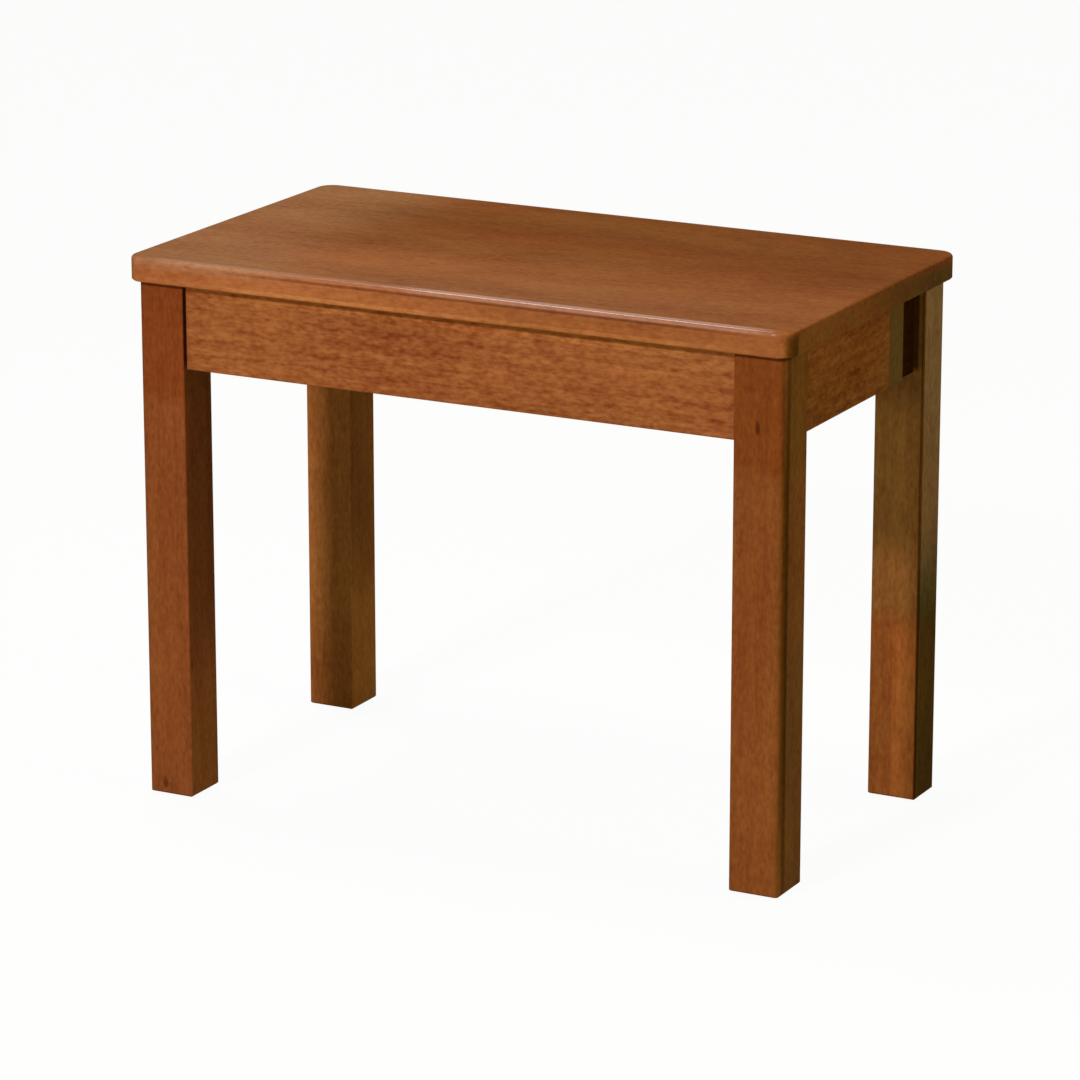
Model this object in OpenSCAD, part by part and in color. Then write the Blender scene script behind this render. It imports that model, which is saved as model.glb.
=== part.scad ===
// A four-legged wooden stool: a flat seat board on square legs that a deep apron frame joins.
// Haunched tenons from two aprons meet in a mitre inside each leg, and a corner block backs
// each joint. Screws and wooden buttons hold the board down from below.
// The long side runs along X, the front faces -Y, and the floor is at Z = 0.

/* [Overall size] */
// Width of the seat board
seat_w = 580; // [500:1:700]
// Depth of the seat board
seat_d = 320; // [290:1:400]
// Height of the seat above the floor
stool_h = 450; // [380:1:500]

/* [Seat board] */
// Thickness of the board
board_t = 20; // [17:1:26]
// Radius of the board's corners, seen from above
board_corner_r = 15; // [10:1:24]
// Radius of the round along the board's top edge
board_top_r = 3; // [1:0.5:5]
// Chamfer along the board's lower edge
board_ease = 1; // [0.5:0.25:2]
// How far the board reaches past the legs at the two ends
overhang_end = 7; // [5:1:15]
// How far the board reaches past the legs at front and rear
overhang_front = 7; // [5:1:15]

/* [Legs] */
// Width of the square leg
leg_w = 42; // [38:1:48]
// Radius of the leg's outermost arris, which follows the board's corner
leg_corner_r = 8; // [4:1:12]
// Radius of the leg's other three arrises
leg_arris_r = 1.5; // [0.5:0.5:3]
// Chamfer round the foot of the leg
foot_chamfer = 1.5; // [0.5:0.5:3]

/* [Aprons] */
// Height of the aprons
apron_h = 70; // [62:1:85]
// Thickness of the aprons
apron_t = 20; // [18:1:22]
// How far the aprons stand back from the outer faces of the legs
apron_setback = 5; // [3:1:7]
// Radius of the aprons' lower arrises
apron_arris_r = 1.5; // [0.5:0.5:3]

/* [Tenons and mortises] */
// Thickness of the tenons
tenon_t = 8; // [6:0.5:9]
// Distance from an apron's inner face to its tenon
tenon_inset = 4; // [3:0.5:5]
// Shoulder below the tenon
tenon_foot = 8; // [5:1:12]
// Height of the haunch, where the tenon is cut short below the board
haunch_h = 16; // [10:1:20]
// Length of the haunch
haunch_l = 7; // [4:1:10]
// Clearance between a tenon and each wall of its mortise
tenon_fit = 0.1; // [0.05:0.05:0.2]
// Room for glue between a tenon's mitred end and the mitre line
mitre_gap = 0.5; // [0.2:0.1:1]

/* [Rebate beside the rear right leg] */
// Depth of the rebate in the right apron's outer face
rebate_depth = 4.5; // [3:0.5:6]
// Width of the part of the rebate that stays open
rebate_open_w = 31; // [20:1:40]
// Width of the upright strip let into the rest of the rebate
strip_w = 27; // [15:1:35]
// Radius of the strip's upright arrises
strip_arris_r = 0.6; // [0.2:0.2:1.2]

/* [Corner blocks] */
// Length of a corner block along each apron
block_l = 70; // [64:1:76]
// Height of a corner block
block_h = 45; // [40:1:55]
// Flat at each tip of a corner block
block_tip = 6; // [4:1:9]
// Gap between a corner block and its leg
block_gap = 0.5; // [0.3:0.1:0.8]
// Distance of the block's side screws from the corner of the aprons
block_screw_u = 48; // [46:1:52]
// Distance of the side screws from the top and the bottom of the block
block_screw_v = 11; // [9:1:13]
// Distance of the block's seat screw from each apron
block_hole_u = 28; // [26:1:30]

/* [Screws] */
// Shank diameter of all wood screws
screw_d = 4; // [3.5:0.25:4.5]
// Head diameter of all wood screws
screw_head_d = 8; // [7:0.5:9]
// Height of a screw head
screw_head_h = 2.4; // [2:0.2:3]
// Length of a screw's point
screw_point = 4; // [3:0.5:5]
// Length of the screws from block to apron, under the head
side_screw_l = 27; // [24:1:30]
// Wood between the head of a side screw and the apron
side_screw_grip = 14; // [13:1:16]
// Length of the screws from block or button to board, under the head
seat_screw_l = 32; // [30:1:34]
// Wood of a corner block above its seat screw's washer
seat_screw_grip = 19; // [18:1:22]
// Clearance between a screw and the wood round it
screw_fit = 0.15; // [0.1:0.05:0.25]
// Clearance between a head or washer and its counterbore
head_fit = 1; // [0.6:0.2:1.4]
// Play of the seat screw across the grain of the board, each way
seat_play = 1.5; // [1:0.25:2]
// Outside diameter of the washers
washer_d = 11; // [10:0.5:12]
// Thickness of the washers
washer_t = 1.2; // [0.8:0.2:1.6]

/* [Seat buttons] */
// Distance of each button from the middle of its apron
button_x = 78; // [50:1:100]
// Width of a button along its apron
button_w = 28; // [22:1:34]
// Reach of a button from its apron towards the middle of the seat
button_l = 34; // [28:1:42]
// Thickness of a button's tongue
tongue_t = 8; // [6:0.5:10]
// Depth of the button socket in the apron
socket_depth = 9; // [7:0.5:11]
// Wood of the apron above the button socket
socket_drop = 12; // [10:0.5:14]
// Gap between a button's body and the board that it pulls down
button_gap = 0.4; // [0.2:0.1:0.8]
// Room round a button's tongue in its socket
socket_fit = 1; // [0.5:0.25:2]

/* [Foot glides] */
// Diameter of a foot glide
glide_d = 22; // [18:1:30]
// Thickness of a foot glide
glide_t = 3; // [2:0.5:5]
// Radius round the lower edge of a glide
glide_r = 1; // [0.5:0.25:1.5]
// Head diameter of a glide's nail
nail_head_d = 7; // [5:0.5:9]
// Thickness of the nail's head
nail_head_t = 1; // [0.6:0.2:1.2]
// Depth of the nail's head above the floor
nail_sink = 0.6; // [0.4:0.1:0.8]
// Shank diameter of a glide's nail
nail_d = 2.4; // [2:0.2:3]
// Length of the nail's shank
nail_l = 18; // [14:1:24]

/* [Hidden] */
$fn = 64;
// Overrun of every cut past the face that it opens
over = 1;
// Seats on the four sides: front, right, rear and left, as turns about Z
front_turn = 0;
right_turn = 90;
rear_turn = 180;
left_turn = 270;

// Outer faces of the legs, measured from the middle of the stool
frame_x = seat_w / 2 - overhang_end;
frame_y = seat_d / 2 - overhang_front;
// Underside of the board, which is also the top of the legs, aprons and blocks
frame_top = stool_h - board_t;
apron_z = frame_top - apron_h;
// Lengths of the aprons between the legs
long_span = 2 * (frame_x - leg_w);
short_span = 2 * (frame_y - leg_w);
// Inner face of an apron, measured from the legs' outer faces
apron_inner = apron_setback + apron_t;
// How far a leg stands in past the aprons' inner faces
leg_in = leg_w - apron_inner;
// Faces of a tenon, measured from the apron's outer face
tenon_y0 = apron_t - tenon_inset - tenon_t;
tenon_y1 = apron_t - tenon_inset;
// Bottom and top of the long part of a tenon, above the apron's lower edge
tenon_z0 = tenon_foot;
tenon_z1 = apron_h - haunch_h;
// Heights of a block and of its side screws above the floor
block_z = frame_top - block_h;
side_screw_z = [block_z + block_screw_v, frame_top - block_screw_v];
// Radii of the holes
screw_hole_r = screw_d / 2 + screw_fit;
head_hole_r = screw_head_d / 2 + head_fit;
washer_hole_r = washer_d / 2 + head_fit;
// Head seat of a corner's seat screw, and of a button's screw
block_seat_z = frame_top - seat_screw_grip - washer_t;
button_z = frame_top - socket_drop - tongue_t;
// Room past the end of a screw or nail in its hole
hole_spare = over;
nail_hole_r = nail_d / 2 + screw_fit;
nail_seat_z = nail_sink + nail_head_t;

// Length of a tenon at a distance y from the apron's outer face: its end runs along the mitre
function tenon_reach(y) = leg_w - apron_setback - y - mitre_gap;

// Puts a shape drawn in a corner's own frame at one corner of the stool. There the origin is
// the leg's outer arris, and both axes run inwards, along the front and along the side.
module corner(sx, sy)
    translate([sx * frame_x, sy * frame_y, 0])
        mirror([sx > 0 ? 1 : 0, 0, 0])
            mirror([0, sy > 0 ? 1 : 0, 0])
                children();

// Repeats a shape of the corner's frame for all four corners
module each_corner()
    for (sx = [-1, 1], sy = [-1, 1])
        corner(sx, sy) children();

// Repeats a shape of the corner's frame with its two axes swapped
module both_ways() {
    children();
    mirror([1, -1, 0]) children();
}

// Puts a shape drawn in an apron's own frame on one side of the stool. There X runs along
// the apron from its middle, Y = 0 is the outer face, and Z = 0 is the lower edge.
module on_side(turn, reach)
    rotate([0, 0, turn])
        translate([0, apron_setback - reach, apron_z])
            children();

// What is left of a square corner outside a round of radius r, to be cut away
module corner_waste(r)
    difference() {
        translate([-over, -over]) square(r + over);
        translate([r, r]) circle(r);
    }

// A rectangle with its own radius at each corner, anticlockwise from the origin
module eased_rectangle(w, d, radii) {
    spots = [[0, 0, 0], [w, 0, 90], [w, d, 180], [0, d, 270]];
    difference() {
        square([w, d]);
        for (i = [0 : 3])
            translate([spots[i][0], spots[i][1]])
                rotate(spots[i][2])
                    corner_waste(radii[i]);
    }
}

// Section of the board from a line inside it to its edge: rounded on top, chamfered below
module board_section(w)
    difference() {
        square([w, board_t]);
        translate([w, board_t]) rotate(180) corner_waste(board_top_r);
        polygon([[w - board_ease, 0], [w + over, 0], [w + over, board_ease + over], [w, board_ease]]);
    }

// One edge of the board, drawn along X and centred, with the rounded edge towards -Y
module board_edge(length)
    translate([-length / 2, 0, 0])
        rotate([90, 0, 90])
            linear_extrude(length)
                mirror([1, 0])
                    board_section(board_corner_r);

module board_blank() {
    inner_w = seat_w - 2 * board_corner_r;
    inner_d = seat_d - 2 * board_corner_r;
    translate([-inner_w / 2, -inner_d / 2, 0]) cube([inner_w, inner_d, board_t]);
    for (turn = [front_turn, rear_turn])
        rotate([0, 0, turn]) translate([0, -inner_d / 2, 0]) board_edge(inner_w);
    for (turn = [right_turn, left_turn])
        rotate([0, 0, turn]) translate([0, -inner_w / 2, 0]) board_edge(inner_d);
    for (sx = [-1, 1], sy = [-1, 1])
        translate([sx * inner_w / 2, sy * inner_d / 2, 0])
            rotate_extrude() board_section(board_corner_r);
}

// Pilot hole up into the board from its underside, for a screw whose head is at z
module board_pilot(z) {
    depth = z + seat_screw_l - frame_top;
    translate([0, 0, frame_top - over]) cylinder(depth + hole_spare + over, r = screw_hole_r);
}

module seat_panel() {
    color("sienna")
        difference() {
            translate([0, 0, frame_top]) board_blank();
            each_corner() at_block_hole() board_pilot(block_seat_z);
            each_button() at_button_screw() board_pilot(button_z);
        }
}

// The L-shaped mortise for two tenons that meet in a mitre, with an open haunch on top
module mortises() {
    outer = apron_setback + tenon_y0 - tenon_fit;
    width = tenon_t + 2 * tenon_fit;
    low = apron_z + tenon_z0 - tenon_fit;
    high = apron_z + tenon_z1 + tenon_fit;
    haunch = haunch_l + tenon_fit;
    both_ways() {
        translate([outer, outer, low])
            cube([leg_w - outer + over, width, high - low]);
        translate([leg_w - haunch, outer, low])
            cube([haunch + over, width, frame_top - low + over]);
    }
}

// A long bar whose edge, laid along one side of the foot, cuts the chamfer there
module foot_cut() {
    across = foot_chamfer * sqrt(2);
    translate([leg_w / 2, 0, glide_t])
        rotate([45, 0, 0])
            cube([leg_w + 2 * over, across, across], center = true);
}

module leg() {
    middle = leg_w / 2;
    radii = [leg_corner_r, leg_arris_r, leg_arris_r, leg_arris_r];
    color("saddlebrown")
        difference() {
            translate([0, 0, glide_t])
                linear_extrude(frame_top - glide_t)
                    eased_rectangle(leg_w, leg_w, radii);
            mortises();
            both_ways() {
                foot_cut();
                translate([0, leg_w, 0]) foot_cut();
            }
            translate([middle, middle, glide_t - over])
                cylinder(nail_l + nail_seat_z - glide_t + hole_spare + over, r = nail_hole_r);
        }
}

// One tenon, rooted inside the apron, with its end cut along the mitre and its short haunch
module tenon(half) {
    root = half - tenon_t;
    plan = [
        [root, tenon_y0],
        [half + tenon_reach(tenon_y0), tenon_y0],
        [half + tenon_reach(tenon_y1), tenon_y1],
        [root, tenon_y1]
    ];
    translate([0, 0, tenon_z0]) linear_extrude(tenon_z1 - tenon_z0) polygon(plan);
    translate([root, tenon_y0, tenon_z0])
        cube([half - root + haunch_l, tenon_t, apron_h - tenon_z0]);
}

// Pilot holes of the corner blocks' side screws, bored from the apron's inner face
module side_pilots(half) {
    depth = side_screw_l - side_screw_grip + hole_spare;
    for (z = side_screw_z)
        translate([half + leg_in - block_screw_u, apron_t + over, z - apron_z])
            rotate([90, 0, 0])
                cylinder(depth + over, r = screw_hole_r);
}

module apron(span) {
    half = span / 2;
    radii = [apron_arris_r, apron_arris_r, 0, 0];
    difference() {
        union() {
            translate([-half, 0, 0])
                rotate([90, 0, 90])
                    linear_extrude(span)
                        eased_rectangle(apron_t, apron_h, radii);
            for (end = [0, 1]) mirror([end, 0, 0]) tenon(half);
        }
        for (end = [0, 1]) mirror([end, 0, 0]) side_pilots(half);
    }
}

// Sockets for the tongues of two seat buttons
module button_sockets() {
    high = tongue_t + socket_fit;
    for (side = [-1, 1])
        translate([side * button_x, apron_t, apron_h - socket_drop - high])
            translate([-button_w / 2 - socket_fit, -socket_depth, 0])
                cube([button_w + 2 * socket_fit, socket_depth + over, high]);
}

module long_apron()
    color("sienna")
        difference() {
            apron(long_span);
            button_sockets();
        }

module plain_short_apron()
    color("sienna") apron(short_span);

// The right apron, with a full-height rebate in its outer face next to the rear leg
module rebated_short_apron() {
    width = rebate_open_w + strip_w;
    color("sienna")
        difference() {
            apron(short_span);
            translate([short_span / 2 - width, -over, -over])
                cube([width + over, rebate_depth + over, apron_h + 2 * over]);
        }
}

// The upright strip that fills the front part of the rebate, flush with the apron
module strip() {
    radii = [strip_arris_r, strip_arris_r, 0, 0];
    color("peru")
        translate([short_span / 2 - rebate_open_w - strip_w, 0, 0])
            linear_extrude(apron_h)
                eased_rectangle(strip_w, rebate_depth, radii);
}

// Bore for a side screw with its counterbore, along the axis that runs out to the apron
module side_bore(z)
    translate([apron_inner + block_screw_u, apron_inner, z])
        rotate([-90, 0, 0]) {
            translate([0, 0, -over]) cylinder(block_l, r = screw_hole_r);
            translate([0, 0, side_screw_grip]) cylinder(block_l, r = head_hole_r);
        }

// Moves a shape to the upright seat screw of a corner block
module at_block_hole()
    translate([apron_inner + block_hole_u, apron_inner + block_hole_u, 0])
        children();

// A round hole stretched along Y, which lets the board swell and shrink across its grain
module play_hole(height, r) {
    for (side = [-1, 1])
        translate([0, side * seat_play, 0]) cylinder(height, r = r);
    translate([-r, -seat_play, 0]) cube([2 * r, 2 * seat_play, height]);
}

// A triangular block notched round the leg, glued and screwed to both aprons
module corner_block() {
    notch = leg_in + block_gap;
    plan = [
        [notch, 0], [block_l, 0], [block_l, block_tip],
        [block_tip, block_l], [0, block_l], [0, notch], [notch, notch]
    ];
    color("burlywood")
        difference() {
            translate([apron_inner, apron_inner, block_z])
                linear_extrude(block_h)
                    polygon(plan);
            both_ways()
                for (z = side_screw_z) side_bore(z);
            at_block_hole() {
                translate([0, 0, block_z - over])
                    play_hole(block_h + 2 * over, screw_hole_r);
                translate([0, 0, block_z - over])
                    play_hole(block_h - seat_screw_grip + over, washer_hole_r);
            }
        }
}

// A pan-head wood screw with its shank up from Z = 0 and a cross in its head
module screw(length) {
    shank_r = screw_d / 2;
    head_r = screw_head_d / 2;
    slot_w = screw_d / 4;
    slot_h = screw_head_h / 2;
    profile = [
        [0, -screw_head_h], [head_r * 3 / 4, -screw_head_h], [head_r, -screw_head_h / 2],
        [head_r, 0], [shank_r, 0], [shank_r, length - screw_point], [0, length]
    ];
    color("silver")
        difference() {
            rotate_extrude() polygon(profile);
            both_ways()
                translate([-screw_d / 2, -slot_w / 2, -screw_head_h - slot_h])
                    cube([screw_d, slot_w, 2 * slot_h]);
        }
}

module block_screws()
    each_corner()
        both_ways()
            for (z = side_screw_z)
                translate([apron_inner + block_screw_u, apron_inner + side_screw_grip, z])
                    rotate([90, 0, 0])
                        screw(side_screw_l);

module seat_screws()
    each_corner()
        at_block_hole()
            translate([0, 0, block_seat_z]) screw(seat_screw_l);

module seat_washers()
    color("silver")
        each_corner()
            at_block_hole()
                translate([0, 0, block_seat_z])
                    difference() {
                        cylinder(washer_t, d = washer_d);
                        translate([0, 0, -over])
                            cylinder(washer_t + 2 * over, r = screw_hole_r);
                    }

// Places a shape of an apron's frame at the button on one side of the front or rear apron
module at_button(turn, side)
    on_side(turn, frame_y)
        translate([side * button_x, apron_t, 0])
            children();

module each_button()
    for (turn = [front_turn, rear_turn], side = [-1, 1])
        at_button(turn, side) children();

// Moves a shape with floor heights to the upright screw in the body of a button
module at_button_screw()
    translate([0, button_l / 2, -apron_z]) children();

// A stepped wooden button: its tongue bears up in the apron's socket, and its body is
// screwed to the board
module button() {
    low = button_z - apron_z;
    shoulder = low + tongue_t;
    reach = socket_depth - socket_fit;
    profile = [
        [-reach, low], [button_l, low], [button_l, apron_h - button_gap],
        [socket_fit, apron_h - button_gap], [socket_fit, shoulder], [-reach, shoulder]
    ];
    color("burlywood")
        difference() {
            translate([-button_w / 2, 0, 0])
                rotate([90, 0, 90])
                    linear_extrude(button_w)
                        polygon(profile);
            at_button_screw()
                translate([0, 0, button_z - over])
                    cylinder(frame_top - button_z + 2 * over, r = screw_hole_r);
        }
}

module button_screws()
    each_button()
        at_button_screw()
            translate([0, 0, button_z]) screw(seat_screw_l);

// A nailed foot glide: a disc with a rounded lower edge and a sunk seat for the nail's head
module glide() {
    middle = leg_w / 2;
    r = glide_d / 2;
    color("dimgray")
        translate([middle, middle, 0])
            difference() {
                rotate_extrude()
                    difference() {
                        square([r, glide_t]);
                        translate([r, 0]) rotate(90) corner_waste(glide_r);
                    }
                translate([0, 0, -over]) cylinder(glide_t + 2 * over, r = nail_hole_r);
                translate([0, 0, -over])
                    cylinder(nail_seat_z + over, r = nail_head_d / 2 + screw_fit);
            }
}

module glide_nails()
    color("silver")
        each_corner()
            translate([leg_w / 2, leg_w / 2, nail_sink])
                rotate_extrude()
                    polygon([
                        [0, 0], [nail_head_d / 2, 0], [nail_head_d / 2, nail_head_t],
                        [nail_d / 2, nail_head_t],
                        [nail_d / 2, nail_head_t + nail_l - nail_d],
                        [0, nail_head_t + nail_l]
                    ]);

seat_panel();
corner(-1, -1) leg();  // leg_front_left
corner(1, -1) leg();  // leg_front_right
corner(-1, 1) leg();  // leg_rear_left
corner(1, 1) leg();  // leg_rear_right
on_side(front_turn, frame_y) long_apron();  // apron_front
on_side(right_turn, frame_x) rebated_short_apron();  // apron_right
on_side(rear_turn, frame_y) long_apron();  // apron_rear
on_side(left_turn, frame_x) plain_short_apron();  // apron_left
on_side(right_turn, frame_x) strip();  // apron_strip
corner(-1, -1) corner_block();  // corner_block_front_left
corner(1, -1) corner_block();  // corner_block_front_right
corner(-1, 1) corner_block();  // corner_block_rear_left
corner(1, 1) corner_block();  // corner_block_rear_right
at_button(front_turn, -1) button();  // seat_button_front_left
at_button(front_turn, 1) button();  // seat_button_front_right
at_button(rear_turn, 1) button();  // seat_button_rear_left
at_button(rear_turn, -1) button();  // seat_button_rear_right
block_screws();
seat_screws();
seat_washers();
button_screws();
corner(-1, -1) glide();  // glide_front_left
corner(1, -1) glide();  // glide_front_right
corner(-1, 1) glide();  // glide_rear_left
corner(1, 1) glide();  // glide_rear_right
glide_nails();
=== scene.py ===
"""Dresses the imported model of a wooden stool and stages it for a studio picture.

The stool has a flat seat board on four square legs, with a deep apron between the legs. Its
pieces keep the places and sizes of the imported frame. This script gives each of them its
stained wood, steel or plastic, and sets up the floor, the lamps and the camera.

Lengths are in metres. The frame's origin is on the floor under the middle of the stool, X
runs along its long side, its front faces -Y, and Z points up.
"""
import logging
import math
from dataclasses import dataclass, replace
from enum import Enum
from typing import Any, Optional, Sequence, Union

import bpy
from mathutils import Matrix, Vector


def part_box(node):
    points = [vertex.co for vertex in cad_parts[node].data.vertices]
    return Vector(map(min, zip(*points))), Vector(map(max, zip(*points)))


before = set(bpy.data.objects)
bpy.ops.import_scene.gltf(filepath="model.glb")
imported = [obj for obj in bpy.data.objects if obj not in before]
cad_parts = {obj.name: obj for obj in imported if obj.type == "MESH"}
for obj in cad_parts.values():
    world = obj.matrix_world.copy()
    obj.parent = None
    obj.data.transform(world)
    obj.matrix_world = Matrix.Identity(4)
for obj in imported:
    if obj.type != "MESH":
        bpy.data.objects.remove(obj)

log = logging.getLogger("stool")

Colour = tuple[float, float, float]
Place = tuple[float, float, float]
Number = Union[int, float]

WHITE: Colour = (1.0, 1.0, 1.0)
SEEN_RAYS = ("Camera", "Glossy", "Transmission")
NOISE_MEAN = 0.5


class Grain(Enum):
    """The direction in which the fibres of a board run, as an index into X, Y and Z."""

    ALONG_X = 0
    ALONG_Y = 1
    UPRIGHT = 2


class Field:
    """A value that varies over a surface: one output socket, with arithmetic on it."""

    def __init__(self, bench: "ShaderBench", socket: bpy.types.NodeSocket) -> None:
        """Wraps a socket.

        Args:
            bench: The node tree's builder.
            socket: The output that holds the value.
        """
        self.bench = bench
        self.socket = socket

    def _apply(self, operation: str, *terms: Any) -> "Field":
        """Adds one Math node, or a Vector Math node for vectors.

        Args:
            operation: Blender's name of the operation.
            *terms: The operands in order, as fields or plain numbers.

        Returns:
            The node's result.
        """
        vector = any(isinstance(t, Field) and t.socket.type == "VECTOR" for t in terms)
        kind = "ShaderNodeVectorMath" if vector else "ShaderNodeMath"
        return self.bench.node(kind, {"operation": operation}, dict(enumerate(terms)))

    def __add__(self, other: Any) -> "Field":
        """Returns self + other."""
        return self._apply("ADD", self, other)

    def __radd__(self, other: Any) -> "Field":
        """Returns other + self."""
        return self._apply("ADD", other, self)

    def __sub__(self, other: Any) -> "Field":
        """Returns self - other."""
        return self._apply("SUBTRACT", self, other)

    def __rsub__(self, other: Any) -> "Field":
        """Returns other - self."""
        return self._apply("SUBTRACT", other, self)

    def __mul__(self, other: Any) -> "Field":
        """Returns self * other."""
        return self._apply("MULTIPLY", self, other)

    def __rmul__(self, other: Any) -> "Field":
        """Returns other * self."""
        return self._apply("MULTIPLY", other, self)

    def __truediv__(self, other: Any) -> "Field":
        """Returns self / other."""
        return self._apply("DIVIDE", self, other)

    def __rtruediv__(self, other: Any) -> "Field":
        """Returns other / self."""
        return self._apply("DIVIDE", other, self)

    def power(self, exponent: Number) -> "Field":
        """Returns the value raised to a power."""
        return self._apply("POWER", self, exponent)

    def fraction(self) -> "Field":
        """Returns what is left of the value above its whole part."""
        return self._apply("FRACT", self)

    def size(self) -> "Field":
        """Returns the value without its sign."""
        return self._apply("ABSOLUTE", self)

    def above(self, other: Any) -> "Field":
        """Returns the larger of the value and other."""
        return self._apply("MAXIMUM", self, other)

    def ramp(
        self, low: Number, high: Number, to_low: Number = 0.0, to_high: Number = 1.0
    ) -> "Field":
        """Eases from one number to another as the value crosses a range, and stays there.

        Args:
            low: The value at which the change starts.
            high: The value at which it ends.
            to_low: The result up to low.
            to_high: The result from high on.

        Returns:
            The eased result.
        """
        feeds = {
            "Value": self, "From Min": low, "From Max": high, "To Min": to_low, "To Max": to_high
        }
        easing = {"interpolation_type": "SMOOTHSTEP"}
        return self.bench.node("ShaderNodeMapRange", easing, feeds)


class ShaderBench:
    """Builds one node tree."""

    def __init__(self, tree: bpy.types.NodeTree) -> None:
        """Empties a tree.

        Args:
            tree: The node tree of a material or of the world.
        """
        self.tree = tree
        self.tree.nodes.clear()

    def node(
        self,
        kind: str,
        settings: Optional[dict[str, Any]] = None,
        inputs: Optional[dict[Union[int, str], Any]] = None,
        output: Union[int, str, None] = 0,
    ) -> Optional[Field]:
        """Adds a node, sets it and feeds its sockets.

        Args:
            kind: Blender's type name of the node.
            settings: Properties of the node, set before its sockets are fed. The key
                "stops" holds a colour ramp's stops as pairs of place and colour.
            inputs: Values or fields for its inputs, by name or index.
            output: Name or index of the output to return, or None for a node without one.

        Returns:
            The chosen output.
        """
        made = self.tree.nodes.new(kind)
        for key, value in (settings or {}).items():
            if key == "stops":
                self._set_stops(made.color_ramp.elements, value)
            else:
                setattr(made, key, value)
        for key, value in (inputs or {}).items():
            if isinstance(value, Field):
                self.tree.links.new(value.socket, made.inputs[key])
            elif value is not None:
                made.inputs[key].default_value = value
        return None if output is None else Field(self, made.outputs[output])

    @staticmethod
    def _set_stops(elements: Any, stops: Sequence[tuple[float, Colour]]) -> None:
        """Writes a colour ramp's stops.

        Args:
            elements: The ramp's elements, of which there are two at first.
            stops: Pairs of place and colour, in order.
        """
        while len(elements) < len(stops):
            elements.new(1.0)
        for element, (place, colour) in zip(elements, stops):
            element.position = place
            element.color = (*colour, 1.0)

    def noise(self, where: Field, scale: Number, detail: Number) -> Field:
        """Adds smooth noise.

        Args:
            where: The point at which it is read.
            scale: Waves per unit.
            detail: Octaves above the first, each of half the strength of the one before it.

        Returns:
            A value from 0 to 1, near 0.5 on average.
        """
        feeds = {"Vector": where, "Scale": scale, "Detail": detail, "Roughness": 0.5}
        return self.node("ShaderNodeTexNoise", {}, feeds)

    def vector(self, x: Any, y: Any, z: Any) -> Field:
        """Returns the vector of three values."""
        return self.node("ShaderNodeCombineXYZ", {}, {"X": x, "Y": y, "Z": z})

    def parts(self, vector: Field) -> tuple[Field, Field, Field]:
        """Takes a vector apart.

        Args:
            vector: The vector.

        Returns:
            Its three values.
        """
        split = self.node("ShaderNodeSeparateXYZ", {}, {"Vector": vector})
        outputs = split.socket.node.outputs
        return tuple(Field(self, outputs[i]) for i in range(3))

    def blend(self, share: Any, first: Any, second: Any, mode: str = "MIX") -> Field:
        """Mixes two colours.

        Args:
            share: How much of the second colour there is, from 0 to 1.
            first: The first colour, as a field or three numbers.
            second: The second colour.
            mode: Blender's name of the way to mix.

        Returns:
            The mixed colour.
        """
        pair = [(*c, 1.0) if isinstance(c, tuple) else c for c in (first, second)]
        settings = {"data_type": "RGBA", "blend_type": mode}
        return self.node("ShaderNodeMix", settings, {0: share, 6: pair[0], 7: pair[1]}, 2)

    def tinted(self, colour: Field, tint: Any) -> Field:
        """Returns a colour multiplied by another."""
        return self.blend(1.0, colour, tint, "MULTIPLY")

    def seen(self) -> Field:
        """Returns 1 for rays from the camera, a gloss or a glass, and 0 for all other light."""
        rays = [self.node("ShaderNodeLightPath", output=f"Is {kind} Ray") for kind in SEEN_RAYS]
        return rays[0].above(rays[1]).above(rays[2])


def surface_material(name: str) -> tuple[bpy.types.Material, ShaderBench]:
    """Makes an empty material and the bench for its tree.

    Args:
        name: The material's name.

    Returns:
        The material and its bench.
    """
    material = bpy.data.materials.new(name)
    material.use_nodes = True
    return material, ShaderBench(material.node_tree)


def close_surface(
    bench: ShaderBench, surface: dict[str, Any], height: Field, metres: float
) -> None:
    """Ends a material's tree in a Principled shader with a bump.

    Args:
        bench: The material's bench.
        surface: Values or fields of the shader's sockets.
        height: The bump's height, from 0 to 1.
        metres: The height that 1 stands for.
    """
    feeds = {"Height": height, "Distance": metres, "Strength": 1.0}
    bump = bench.node("ShaderNodeBump", {}, feeds)
    shader = bench.node("ShaderNodeBsdfPrincipled", {}, {**surface, "Normal": bump})
    bench.node("ShaderNodeOutputMaterial", {}, {"Surface": shader}, None)


@dataclass(frozen=True)
class Plank:
    """How one piece was cut from its log.

    Attributes:
        grain: The direction of its fibres.
        pith: Place of the log's middle in the stool's frame, across the grain.
        seed: A shift along the grain that gives each piece its own figure.
        tint: What its colour is multiplied by: each piece's own take of the stain, and on the
            short aprons painted shade and on the rear legs painted light.
    """

    grain: Grain
    pith: tuple[float, float]
    seed: float
    tint: Colour = WHITE


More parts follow.
